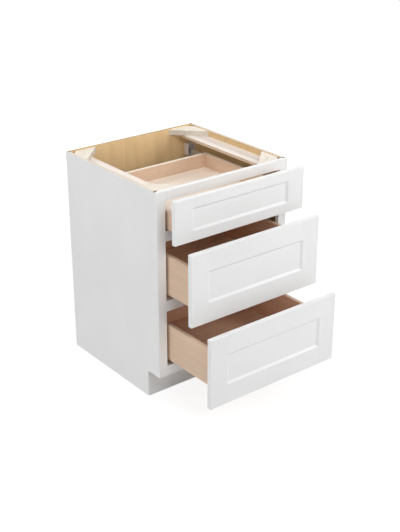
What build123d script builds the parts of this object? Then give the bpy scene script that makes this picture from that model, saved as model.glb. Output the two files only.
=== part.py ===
from build123d import *
from dataclasses import dataclass
from math import radians, tan
import os

# Face-frame base cabinet with three drawers, standing on the floor, drawers partly pulled out.
# Millimetres. X runs across the width, Y from the front to the wall, Z up.
# The origin is at floor level, on the centreline, under the middle of the back panel's thickness.

# Carcass
WIDTH = 635.0  # across the face frame
DEPTH = 609.6  # face frame's front to back panel's outer face
HEIGHT = 876.3  # floor to top edge, without a worktop
PANEL = 12.7  # plywood of the sides, back, floor and toe board
DADO = 6.35  # how far one board is let into another
TOE_HEIGHT = 114.3  # toe recess under the face frame
TOE_DEPTH = 76.2  # face frame's front to toe board
FLOOR_DROP = 4.8  # bottom rail's top edge above the cabinet floor

# Face frame
FRAME = 19.05  # thickness of stiles and rails
STILE = 38.1  # width of each stile
TOP_RAIL = 38.1
UPPER_RAIL = 39.7
LOWER_RAIL = 44.5
LOWER_RAIL_RISE = 5.0  # lower rail's middle above the gap between the fronts it backs
BOTTOM_RAIL = 42.9
TENON = 9.5  # length of the rails' tenons
TENON_SHOULDER = 6.35  # tenon set in from the rail's edges
EDGE = 1.0  # eased outer edges of the frame

# Top braces
STRETCHER_WIDTH = 73.0
STRETCHER = 12.7  # thickness
BLOCK_LEG = 120.65  # corner block along each wall
BLOCK_TIP = 25.4  # cut-off tip of the block along each wall
BLOCK = 22.2  # thickness
BLOCK_DROP = 3.2  # block's top below the cabinet's top edge
SCREW_HOLE = 5.0  # diameter of the worktop screw holes
SCREW_INSET = 38.1  # hole from the frame or back, and from the side

# Drawer fronts
FRONT = 19.05  # thickness
REVEAL = 6.35  # frame that shows round the fronts
FRONT_GAP = 4.76  # between two fronts
UPPER_FRONT = 168.3  # height; the two deep fronts share what it leaves
FRONT_STILE = 79.4  # flat width of a front's stiles
SLIM_RAIL = 39.7  # flat height of the upper front's rails
WIDE_RAIL = 79.4  # flat height of the other fronts' rails
BEVEL_WIDTH = 8.0  # slope from the frame down to the panel
BEVEL_DEPTH = 7.0
FRONT_PANEL = 6.35  # thickness
FRONT_GROOVE = 9.5  # how far panel and tongues go into the frame
FRONT_EDGE = 1.6  # rounded outer edges

# Drawer boxes
BOX_SIDE = 15.9  # thickness of all four walls
BOX_BACK_GAP = 63.5  # box to the back panel, when closed
BOX_CLEARANCE = 11.1  # wall to the edge of the opening, each side
BOX_FLOOR = 4.8
FLOOR_RECESS = 7.9  # walls' lower edge to the underside of the drawer floor
FLOOR_GROOVE = 6.35
SHALLOW_HEADROOM = 43.2  # upper box walls' top below the rail above
DEEP_HEADROOM = 61.0  # the same over the two deep boxes
SHALLOW_LIFT = 6.35  # upper box walls' lower edge above the rail
DEEP_LIFT = 22.2
BOX_EDGE = 1.6  # rounded upper edges
TAIL_PITCH = 26.0  # target spacing of the dovetails
TAIL_SHARE = 0.62  # widest part of a tail, of its spacing
TAIL_DEPTH = 10.6  # half-blind depth into the front and back walls
TAIL_ANGLE = 10.0  # degrees

# Concealed telescopic slides, under the drawer floors
SHEET = 1.2  # rolled steel
BEND = 1.6  # outer radius of its bends
SLIDER_WIDTH = 30.8
SLIDER_DEPTH = 9.6
SLIDER_INSET = 4.6  # slider to the box wall
RUN_GAP = 1.7  # beside the legs of two nested members
LAYER_GAP = 1.0  # above or below a nested member
RUNNER_DROP = 12.4  # drawer floor's underside to the runner's flange
RUNNER_BACK_GAP = 44.45  # runner's flange to the back panel
RUNNER_HEIGHT = 60.0
TELESCOPE_SHORTER = 33.4  # than the runner's flange
TELESCOPE_SETBACK = 4.0  # telescope's front end behind the runner's, when closed
TELESCOPE_DEPTH = 9.6
GLIDE_LENGTH = 36.0  # nylon glide on each end of the telescope
GLIDE_END = 2.0  # wall of the glide over the telescope's end
GLIDE_PAD = 0.5  # sliding pad on top of the telescope
GLIDE_GAP = 0.4  # glide to the inside of the runner
CLIP_WIDTH = 24.0  # locking clip beside the slider, behind the box front
CLIP_LENGTH = 40.0
CLIP_HEIGHT = 9.0
CLIP_LEVER = 22.0  # release lever, beyond the clip's body
CLIP_LEVER_WIDTH = 11.0
CLIP_LEVER_HEIGHT = 5.0
HOOK_WIDTH = 14.0
HOOK_HEIGHT = 16.0
TAB_HEIGHT = 32.0  # runner's screw tab on the stile
TAB_RISE = 20.0
SCREW = 4.2  # diameter of the holes in the steel
BRACKET_WIDTH = 37.0
BRACKET_DEPTH = 27.0
BRACKET_HEIGHT = 50.0
BRACKET_RISE = 29.3  # bracket's foot above the runner's flange
BRACKET_WALL = 2.0

# How far each drawer is pulled out
UPPER_PULL = 82.25
MIDDLE_PULL = 175.95
LOWER_PULL = 286.75

# Planes that the pieces share
x_out = WIDTH / 2
x_in = x_out - PANEL
x_open = x_out - STILE
y_back = PANEL / 2
y_back_in = -PANEL / 2
y_front = y_back - DEPTH
y_frame = y_front + FRAME
y_toe = y_front + TOE_DEPTH
z_block = HEIGHT - BLOCK_DROP - BLOCK
x_box = x_open - BOX_CLEARANCE
x_box_in = x_box - BOX_SIDE
x_slider = x_box_in - SLIDER_INSET  # outboard face of the slider
box_length = y_back_in - y_front - BOX_BACK_GAP
runner_length = y_back_in - y_frame - RUNNER_BACK_GAP
telescope_length = runner_length - TELESCOPE_SHORTER


@dataclass
class Drawer:
    """One drawer: its front between two heights, its box in an opening, and how far it is out."""

    name: str
    front_low: float
    front_high: float
    front_rail: float
    opening: tuple
    lift: float
    headroom: float
    pull: float

    @property
    def y_box(self):
        """Front plane of the box, which is the back of the drawer front."""
        return y_front - self.pull

    @property
    def z_box(self):
        """Lower edge of the box walls."""
        return self.opening[0] + self.lift

    @property
    def wall(self):
        """Height of the box walls."""
        return self.opening[1] - self.headroom - self.z_box

    @property
    def z_under(self):
        """Underside of the drawer floor, which the slides carry."""
        return self.z_box + FLOOR_RECESS


def block(xs, ys, zs):
    """Box between two values on each axis."""
    sizes = [abs(b - a) for a, b in (xs, ys, zs)]
    middle = [(a + b) / 2 for a, b in (xs, ys, zs)]
    return Pos(*middle) * Box(*sizes)


def both_sides(make):
    """The left and the right copy of a piece that is made for the right-hand side."""
    return make(), mirror(make(), about=Plane.YZ)


def pair(make):
    """Left and right copies as separate solids of one node."""
    return Compound(children=list(both_sides(make)))


def upright(points, y0, y1):
    """Prism along Y over an outline of (x, z) points."""
    outline = Polyline(*[(x, y0, z) for x, z in points], close=True)
    return Solid.extrude(Face(Wire(outline.edges())), Vector(0, y1 - y0, 0))


def flat(points, z0, z1):
    """Prism along Z over an outline of (x, y) points."""
    outline = Polyline(*[(x, y, z0) for x, y in points], close=True)
    return Solid.extrude(Face(Wire(outline.edges())), Vector(0, 0, z1 - z0))


def save(node, shape):
    export_step(shape, f"parts/{node}.step")


# Heights that follow from the fronts
upper_low = HEIGHT - REVEAL - UPPER_FRONT
lower_low = TOE_HEIGHT + REVEAL
deep_front = (upper_low - lower_low) / 2 - FRONT_GAP
middle_high = upper_low - FRONT_GAP
middle_low = middle_high - deep_front
lower_high = lower_low + deep_front
upper_rail_mid = (upper_low + middle_high) / 2
lower_rail_mid = (middle_low + lower_high) / 2 + LOWER_RAIL_RISE
upper_rail_z = (upper_rail_mid - UPPER_RAIL / 2, upper_rail_mid + UPPER_RAIL / 2)
lower_rail_z = (lower_rail_mid - LOWER_RAIL / 2, lower_rail_mid + LOWER_RAIL / 2)
bottom_rail_z = (TOE_HEIGHT, TOE_HEIGHT + BOTTOM_RAIL)
top_rail_z = (HEIGHT - TOP_RAIL, HEIGHT)
floor_z = (bottom_rail_z[1] - FLOOR_DROP - PANEL, bottom_rail_z[1] - FLOOR_DROP)

DRAWERS = [
    Drawer("upper", upper_low, HEIGHT - REVEAL, SLIM_RAIL,
           (upper_rail_z[1], top_rail_z[0]), SHALLOW_LIFT, SHALLOW_HEADROOM, UPPER_PULL),
    Drawer("middle", middle_low, middle_high, WIDE_RAIL,
           (lower_rail_z[1], upper_rail_z[0]), DEEP_LIFT, DEEP_HEADROOM, MIDDLE_PULL),
    Drawer("lower", lower_low, lower_high, WIDE_RAIL,
           (bottom_rail_z[1], lower_rail_z[0]), DEEP_LIFT, DEEP_HEADROOM, LOWER_PULL),
]


# ---- carcass ----

def back_panel():
    """Back, let into rabbets along the rear edges of the sides."""
    return block((-x_in - DADO, x_in + DADO), (y_back_in, y_back), (0, HEIGHT))


def cabinet_floor():
    """Floor of the cabinet, let into the sides, from the bottom rail to the back."""
    return block((-x_in - DADO, x_in + DADO), (y_frame, y_back_in), floor_z)


def side_panel():
    """Right side: toe notch, rabbet for the back, groove for the floor."""
    panel = block((x_in, x_out), (y_frame - DADO, y_back), (0, HEIGHT))
    panel -= block((x_in, x_out), (y_front, y_toe), (0, TOE_HEIGHT))
    return panel - back_panel() - cabinet_floor()


def toe_board():
    """Board across the toe recess, under the cabinet floor."""
    return block((-x_in, x_in), (y_toe, y_toe + PANEL), (0, floor_z[0]))


def tenon_z(rail_z):
    return (rail_z[0] + TENON_SHOULDER, rail_z[1] - TENON_SHOULDER)


def tenon_y():
    """Tenons take the middle third of the frame's thickness."""
    return (y_front + FRAME / 3, y_frame - FRAME / 3)


def rail(rail_z):
    """Rail with a tenon at each end."""
    body = block((-x_open, x_open), (y_front, y_frame), rail_z)
    return body + block((-x_open - TENON, x_open + TENON), tenon_y(), tenon_z(rail_z))


def stile(rails):
    """Right stile: mortises for the rails, rabbet behind for the side, eased outer edge."""
    body = block((x_open, x_out), (y_front, y_frame), (TOE_HEIGHT, HEIGHT))
    outer = body.edges().filter_by(Axis.Z).sort_by(Axis.Y)[:2].sort_by(Axis.X)[-1]
    body = fillet(outer, EDGE)
    for rail_z in rails:
        body -= block((x_open, x_open + TENON), tenon_y(), tenon_z(rail_z))
    return body - side_panel()


def worktop_hole(y_wall, inward):
    """Vertical screw hole near the right-hand corner at y_wall."""
    at = Pos(x_in - SCREW_INSET, y_wall + inward * SCREW_INSET, HEIGHT / 2)
    return at * Cylinder(SCREW_HOLE / 2, HEIGHT)


def stretcher():
    """Right plank from the top rail to the back, flat under the corner blocks."""
    plank = block((x_in - STRETCHER_WIDTH, x_in), (y_frame, y_back_in),
                  (z_block - STRETCHER, z_block))
    return plank - worktop_hole(y_frame, 1) - worktop_hole(y_back_in, -1)


def corner_block(y_wall, inward):
    """Right-hand triangular block with its tip cut off, in the corner at y_wall."""
    outline = [
        (x_in - BLOCK_TIP, y_wall), (x_in - BLOCK_LEG, y_wall),
        (x_in, y_wall + inward * BLOCK_LEG), (x_in, y_wall + inward * BLOCK_TIP),
    ]
    return flat(outline, z_block, z_block + BLOCK) - worktop_hole(y_wall, inward)


def make_carcass():
    rails = {"top_rail": top_rail_z, "upper_rail": upper_rail_z,
             "lower_rail": lower_rail_z, "bottom_rail": bottom_rail_z}
    save("back_panel", back_panel())
    save("cabinet_floor", cabinet_floor())
    save("toe_board", toe_board())
    for node, rail_z in rails.items():
        save(node, rail(rail_z))
    sided = {
        "side_panel": side_panel,
        "stile": lambda: stile(rails.values()),
        "stretcher": stretcher,
        "front_block": lambda: corner_block(y_frame, 1),
        "back_block": lambda: corner_block(y_back_in, -1),
    }
    for node, make in sided.items():
        right, left = both_sides(make)
        save(f"right_{node}", right)
        save(f"left_{node}", left)


# ---- drawer fronts ----

def front_planes(drawer):
    """Front face, panel face, panel back and rear face of a drawer front."""
    y0 = drawer.y_box - FRONT
    y1 = y0 + BEVEL_DEPTH
    return y0, y1, y1 + FRONT_PANEL, drawer.y_box


def front_field(drawer, extra=0.0):
    """X and Z limits of the panel field, grown by extra on every side."""
    x = x_out - REVEAL - FRONT_STILE - BEVEL_WIDTH + extra
    inset = drawer.front_rail + BEVEL_WIDTH - extra
    return (-x, x), (drawer.front_low + inset, drawer.front_high - inset)


def rectangle_at(xs, zs, y):
    corners = [(xs[0], y, zs[0]), (xs[1], y, zs[0]), (xs[1], y, zs[1]), (xs[0], y, zs[1])]
    return Face(Wire(Polyline(*corners, close=True).edges()))


def front_panel(drawer):
    """Flat panel that stands in the grooves of its frame."""
    _, y1, y2, _ = front_planes(drawer)
    xs, zs = front_field(drawer, FRONT_GROOVE)
    return block(xs, (y1, y2), zs)


def front_frame(drawer):
    """Whole frame round the panel: rounded outside, sloping down to the panel inside."""
    y0, y1, _, y3 = front_planes(drawer)
    x = x_out - REVEAL
    body = block((-x, x), (y0, y3), (drawer.front_low, drawer.front_high))
    body = fillet(body.faces().sort_by(Axis.Y)[0].edges(), FRONT_EDGE)
    mouth = rectangle_at(*front_field(drawer, BEVEL_WIDTH), y0)
    throat = rectangle_at(*front_field(drawer), y1)
    body -= loft([mouth, throat], ruled=True)
    xs, zs = front_field(drawer)
    body -= block(xs, (y1, y3), zs)
    return body


def make_front(drawer):
    """Stiles run the full height and the rails stand between them on tongues."""
    _, y1, y2, y3 = front_planes(drawer)
    y0 = drawer.y_box - FRONT
    frame = front_frame(drawer)
    (_, x), (low, high) = front_field(drawer)
    x_edge = x_out - REVEAL
    heights = (drawer.front_low, drawer.front_high)
    groove = block((x, x + FRONT_GROOVE), (y1, y2), heights)
    right = frame & block((x, x_edge), (y0, y3), heights)
    save(f"{drawer.name}_front_stiles", pair(lambda: right - groove))
    for node, zs in (("bottom", (drawer.front_low, low)), ("top", (high, drawer.front_high))):
        bar = frame & block((-x, x), (y0, y3), zs)
        tongue = block((-x - FRONT_GROOVE, x + FRONT_GROOVE), (y1, y2), zs)
        save(f"{drawer.name}_front_{node}_rail", bar + tongue - front_panel(drawer))
    save(f"{drawer.name}_front_panel", front_panel(drawer))


# ---- drawer boxes ----

def box_floor(drawer):
    """Drawer floor, held in grooves on all four sides."""
    x = x_box_in + FLOOR_GROOVE
    y0 = drawer.y_box + BOX_SIDE - FLOOR_GROOVE
    y1 = drawer.y_box + box_length - BOX_SIDE + FLOOR_GROOVE
    return block((-x, x), (y0, y1), (drawer.z_under, drawer.z_under + BOX_FLOOR))


def dovetails(drawer, y_shoulder, outward):
    """Tails of the right-hand wall, which widen from the shoulder to their ends."""
    count = max(1, round(drawer.wall / TAIL_PITCH))
    pitch = drawer.wall / count
    wide = pitch * TAIL_SHARE / 2
    slim = wide - TAIL_DEPTH * tan(radians(TAIL_ANGLE))
    y_end = y_shoulder + outward * TAIL_DEPTH
    tails = []
    for index in range(count):
        z = drawer.z_box + pitch * (index + 0.5)
        corners = [(y_shoulder, z - slim), (y_end, z - wide),
                   (y_end, z + wide), (y_shoulder, z + slim)]
        outline = Polyline(*[(x_box_in, y, h) for y, h in corners], close=True)
        tails.append(Solid.extrude(Face(Wire(outline.edges())), Vector(BOX_SIDE, 0, 0)))
    return tails


def all_tails(drawer):
    """Tails at the front and back ends of the right-hand wall."""
    y0 = drawer.y_box + BOX_SIDE
    y1 = drawer.y_box + box_length - BOX_SIDE
    return dovetails(drawer, y0, -1) + dovetails(drawer, y1, 1)


def box_side(drawer):
    """Right-hand wall with its tails, groove for the floor and rounded upper edge."""
    zs = (drawer.z_box, drawer.z_box + drawer.wall)
    ys = (drawer.y_box + BOX_SIDE, drawer.y_box + box_length - BOX_SIDE)
    wall = block((x_box_in, x_box), ys, zs)
    top = wall.faces().sort_by(Axis.Z)[-1].edges().filter_by(Axis.Y)
    wall = fillet(top, BOX_EDGE)
    return wall + all_tails(drawer) - box_floor(drawer)


def box_end(drawer, y0):
    """Wall across the box at y0, with half-blind sockets for the tails."""
    zs = (drawer.z_box, drawer.z_box + drawer.wall)
    wall = block((-x_box, x_box), (y0, y0 + BOX_SIDE), zs)
    for tail in all_tails(drawer):
        wall -= tail
        wall -= mirror(tail, about=Plane.YZ)
    return wall - box_floor(drawer)


def slide_notch(drawer):
    """Room for the right-hand slide under the back wall of the box."""
    x0 = x_slider - SLIDER_WIDTH - SLIDER_INSET
    ys = (drawer.y_box + box_length - BOX_SIDE, drawer.y_box + box_length)
    return block((x0, x_box_in), ys, (drawer.z_box, drawer.z_under))


def make_box(drawer):
    right, left = both_sides(lambda: box_side(drawer))
    save(f"{drawer.name}_box_right", right)
    save(f"{drawer.name}_box_left", left)
    save(f"{drawer.name}_box_front", box_end(drawer, drawer.y_box))
    back = box_end(drawer, drawer.y_box + box_length - BOX_SIDE)
    for notch in both_sides(lambda: slide_notch(drawer)):
        back -= notch
    save(f"{drawer.name}_box_back", back)
    save(f"{drawer.name}_box_floor", box_floor(drawer))


# ---- slides ----

def channel(x_outer, width, z_top, depth):
    """Outline of a sheet-steel channel, open below, under z_top and inboard of x_outer."""
    x0, x1 = x_outer - width, x_outer
    low = z_top - depth
    return [
        (x0, low), (x0, z_top), (x1, z_top), (x1, low), (x1 - SHEET, low),
        (x1 - SHEET, z_top - SHEET), (x0 + SHEET, z_top - SHEET), (x0 + SHEET, low),
    ]


def bend(body, z):
    """Rounds the bends of a rolled member that run along Y at height z."""
    corners = [edge for edge in body.edges().filter_by(Axis.Y) if abs(edge.center().Z - z) < SHEET / 2]
    return fillet(corners, BEND)


def slider(drawer):
    """Right-hand drawer member: channel under the floor, with a hook behind the back wall."""
    y0 = drawer.y_box + BOX_SIDE
    y1 = drawer.y_box + box_length
    z1 = drawer.z_under
    body = bend(upright(channel(x_slider, SLIDER_WIDTH, z1, SLIDER_DEPTH), y0, y1), z1)
    x_mid = x_slider - SLIDER_WIDTH / 2
    hook = block((x_mid - HOOK_WIDTH / 2, x_mid + HOOK_WIDTH / 2), (y1, y1 + SHEET),
                 (z1 - SHEET, z1 + HOOK_HEIGHT))
    return body + hook


def telescope(drawer):
    """Right-hand intermediate member, half as far out as the drawer."""
    inset = SHEET + RUN_GAP
    y0 = y_frame + TELESCOPE_SETBACK - drawer.pull / 2
    z1 = drawer.z_under - SHEET - LAYER_GAP
    outline = channel(x_slider - inset, SLIDER_WIDTH - 2 * inset, z1, TELESCOPE_DEPTH)
    return bend(upright(outline, y0, y0 + telescope_length), z1)


def runner(drawer):
    """Right-hand cabinet member: legs inside the telescope, flange, and web beside the box.

    A tab at its front is screwed to the stile, and a tongue at its rear rests in the bracket.
    """
    inset = 2 * (SHEET + RUN_GAP)
    x1 = x_slider - inset
    x0 = x_slider - SLIDER_WIDTH + inset
    z_leg = drawer.z_under - 2 * (SHEET + LAYER_GAP)
    z1 = drawer.z_under - RUNNER_DROP
    z0 = z1 - SHEET
    z_web = z0 + RUNNER_HEIGHT
    outline = [
        (x0, z0), (x0, z_leg), (x0 + SHEET, z_leg), (x0 + SHEET, z1), (x1 - SHEET, z1),
        (x1 - SHEET, z_leg), (x1, z_leg), (x1, z1), (x_open, z1), (x_open, z_web),
        (x_open + SHEET, z_web), (x_open + SHEET, z0),
    ]
    y1 = y_frame + runner_length
    body = bend(upright(outline, y_frame, y1), z0)
    body += block((x_open, x_open + SHEET), (y1, y_back_in - BRACKET_WALL),
                  (z0 + BRACKET_RISE + BRACKET_WALL, z_web))
    tab_z = (z0 + TAB_RISE, z0 + TAB_RISE + TAB_HEIGHT)
    body += block((x_open, x_in), (y_frame, y_frame + SHEET), tab_z)
    hole = Pos((x_open + x_in) / 2, y_frame, sum(tab_z) / 2) * Rot(90, 0, 0)
    return body - hole * Cylinder(SCREW / 2, 4 * SHEET)


def glide(drawer, y_end, inward):
    """Right-hand nylon glide that caps the telescope's end at y_end, inside the runner."""
    half = SLIDER_WIDTH / 2 - 2 * (SHEET + RUN_GAP) - SHEET - GLIDE_GAP
    x_mid = x_slider - SLIDER_WIDTH / 2
    xs = (x_mid - half, x_mid + half)
    z_web = drawer.z_under - SHEET - LAYER_GAP
    z_low = drawer.z_under - RUNNER_DROP + GLIDE_GAP
    y_far = y_end + inward * GLIDE_LENGTH
    cap = block(xs, (y_end - inward * GLIDE_END, y_end), (z_low, z_web + GLIDE_PAD))
    shoe = block(xs, (y_end, y_far), (z_low, z_web - SHEET))
    pad = block(xs, (y_end, y_far), (z_web, z_web + GLIDE_PAD))
    return cap + shoe + pad


def glides(drawer):
    """Glides on both ends of both telescopes."""
    y0 = y_frame + TELESCOPE_SETBACK - drawer.pull / 2
    ends = ((y0, 1), (y0 + telescope_length, -1))
    return [piece for end in ends for piece in both_sides(lambda: glide(drawer, *end))]


def clip(drawer):
    """Right-hand locking clip: body beside the slider and a release lever with a round end."""
    x1 = x_slider - SLIDER_WIDTH
    y0 = drawer.y_box + BOX_SIDE
    y_tip = y0 + CLIP_LENGTH + CLIP_LEVER
    z1 = drawer.z_under
    radius = CLIP_LEVER_WIDTH / 2
    x_lever = x1 - CLIP_WIDTH + radius
    body = block((x1 - CLIP_WIDTH, x1), (y0, y0 + CLIP_LENGTH), (z1 - CLIP_HEIGHT, z1))
    corners = body.edges().filter_by(Axis.Z).sort_by(Axis.Y)[2:]
    body = fillet(corners, radius / 2)
    lever_z = (z1 - CLIP_HEIGHT, z1 - CLIP_HEIGHT + CLIP_LEVER_HEIGHT)
    lever = block((x_lever - radius, x_lever + radius), (y0 + radius, y_tip - radius), lever_z)
    tip = Pos(x_lever, y_tip - radius, sum(lever_z) / 2) * Cylinder(radius, CLIP_LEVER_HEIGHT)
    return body + lever + tip


def bracket(drawer):
    """Right-hand rear bracket on the back panel: a socket, open in front for the runner's tongue."""
    z0 = drawer.z_under - RUNNER_DROP - SHEET + BRACKET_RISE
    xs = (x_in - BRACKET_WIDTH, x_in)
    ys = (y_back_in - BRACKET_DEPTH, y_back_in)
    zs = (z0, z0 + BRACKET_HEIGHT)
    wall = BRACKET_WALL
    body = block(xs, ys, zs)
    return body - block((xs[0] + wall, xs[1] - wall), (ys[0], ys[1] - wall),
                        (zs[0] + wall, zs[1] - wall))


def make_slides(drawer):
    save(f"{drawer.name}_sliders", pair(lambda: slider(drawer)))
    save(f"{drawer.name}_clips", pair(lambda: clip(drawer)))
    save(f"{drawer.name}_telescopes", pair(lambda: telescope(drawer)))
    save(f"{drawer.name}_glides", Compound(children=glides(drawer)))
    save(f"{drawer.name}_runners", pair(lambda: runner(drawer)))


os.makedirs("parts", exist_ok=True)
make_carcass()
for item in DRAWERS:
    make_front(item)
    make_box(item)
    make_slides(item)
brackets = [piece for item in DRAWERS for piece in both_sides(lambda: bracket(item))]
save("rear_brackets", Compound(children=brackets))
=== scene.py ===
"""Looks of a framed base cabinet with three drawers on concealed slides.

Metres, +Z up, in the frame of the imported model: X runs across the width, the drawers open
along -Y, the floor is at Z = 0 and the back panel's middle at Y = 0.
"""

import logging
from abc import ABC, abstractmethod
from collections.abc import Iterator
from dataclasses import dataclass, field
from enum import Enum
from functools import cached_property
from math import cos, radians, sin

import bpy
from mathutils import Matrix, Vector

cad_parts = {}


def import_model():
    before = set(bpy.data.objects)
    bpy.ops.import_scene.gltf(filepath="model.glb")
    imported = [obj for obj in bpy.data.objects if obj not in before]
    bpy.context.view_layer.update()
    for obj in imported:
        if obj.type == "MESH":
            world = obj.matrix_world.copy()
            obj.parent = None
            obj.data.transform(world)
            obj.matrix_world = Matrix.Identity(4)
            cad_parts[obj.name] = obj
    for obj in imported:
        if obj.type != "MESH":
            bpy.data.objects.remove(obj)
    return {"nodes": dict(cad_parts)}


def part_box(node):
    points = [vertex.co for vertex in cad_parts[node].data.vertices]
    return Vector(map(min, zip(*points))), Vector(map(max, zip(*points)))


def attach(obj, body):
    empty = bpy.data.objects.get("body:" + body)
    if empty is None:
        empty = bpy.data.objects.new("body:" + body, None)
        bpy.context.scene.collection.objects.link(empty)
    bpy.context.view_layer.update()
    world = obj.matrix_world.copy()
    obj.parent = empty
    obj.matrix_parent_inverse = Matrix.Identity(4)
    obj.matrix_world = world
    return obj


LOG = logging.getLogger("base_cabinet")

Colour = tuple[float, float, float]
Point = tuple[float, float, float]
Range = tuple[float, float]
Socket = bpy.types.NodeSocket
Material = bpy.types.Material
Piece = bpy.types.Object

DRAWERS = ("upper", "middle", "lower")
SIDES = {"left": -1.0, "right": 1.0}


class Side(Enum):
    """Outward direction of a board's face."""

    LEFT = (-1.0, 0.0, 0.0)
    RIGHT = (1.0, 0.0, 0.0)
    FRONT = (0.0, -1.0, 0.0)
    REAR = (0.0, 1.0, 0.0)
    UNDER = (0.0, 0.0, -1.0)
    TOP = (0.0, 0.0, 1.0)


OPPOSITES = ((Side.LEFT, Side.RIGHT), (Side.FRONT, Side.REAR), (Side.UNDER, Side.TOP))


class Grain(Enum):
    """Axis that the fibres of a board run along, as the turn that lays it on local Z."""

    ACROSS = (0.0, radians(-90.0), 0.0)
    DEEP = (radians(90.0), 0.0, 0.0)
    UPRIGHT = (0.0, 0.0, 0.0)

    def ends(self) -> tuple[Side, Side]:
        """The two sides of the board that show end grain."""
        return dict(zip(Grain, OPPOSITES))[self]


class Through(Enum):
    """Axis through a panel's thickness or along its edge, as the index of X, Y or Z."""

    X = 0
    Y = 1
    Z = 2

    def flats(self) -> tuple[Side, Side]:
        """The panel's two broad sides."""
        return OPPOSITES[self.value]


# ---- materials ----

NOISE_MIDDLE = 0.5
NOISE_RANGE: Range = (0.3, 0.7)     # where most of a noise pattern lies
FACING_RANGE: Range = (0.55, 0.65)  # cosine at which a face begins to count as facing a side
LEAN_ASIDE = 0.6                    # share of a board's tilt that it has sideways too
MIX_INPUTS = (0, 6, 7)              # the Mix node's share and its two colours
MIX_RESULT = 2                      # its mixed colour
WOOD_GLOSS = 0.4
PLY_GLOSS = 0.45


@dataclass(frozen=True)
class Spots:
    """Spots of a noise pattern: size in metres, 0 along local Z where round, and finer layers."""

    across: float
    along: float = 0.0
    detail: float = 2.0


@dataclass(frozen=True)
class Layer:
    """What one finish shows at a point: colour, roughness, and height in metres."""

    colour: Socket
    roughness: Socket
    height: Socket


@dataclass(frozen=True)
class Board:
    """How a piece lies in its wood: fibre direction, and where in the tree it was cut.

    Attributes:
        grain: direction of the fibres.
        cut: shift of the pattern, in metres, so that no two boards look alike.
        tilt: lean of the fibres in degrees, which draws the rings out into long points.
    """

    grain: Grain
    cut: Point
    tilt: float


@dataclass(frozen=True)
class Log:
    """Tree that like boards are cut from.

    Each board is a step further on than the last, and each row of boards, such as those of
    the next drawer, is a row's move further on.
    """

    start: Point = (0.0, 0.0, 0.0)
    step: Point = (0.0, 0.0, 0.0)
    row: Point = (0.0, 0.0, 0.0)
    tilt: float = 1.5

    def board(self, grain: Grain, index: float = 0, row: int = 0) -> Board:
        """Cuts the board with this number in its row."""
        moves = zip(self.start, self.step, self.row)
        return Board(grain, tuple(at + by * index + down * row for at, by, down in moves), self.tilt)


@dataclass(frozen=True)
class ShadedJoint:
    """Stretch of a panel's top edge that is let into its neighbour, where the shade of the gaping joint is
    painted in a near-black colour.
    """

    along: Through
    start: float
    end: float


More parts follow.
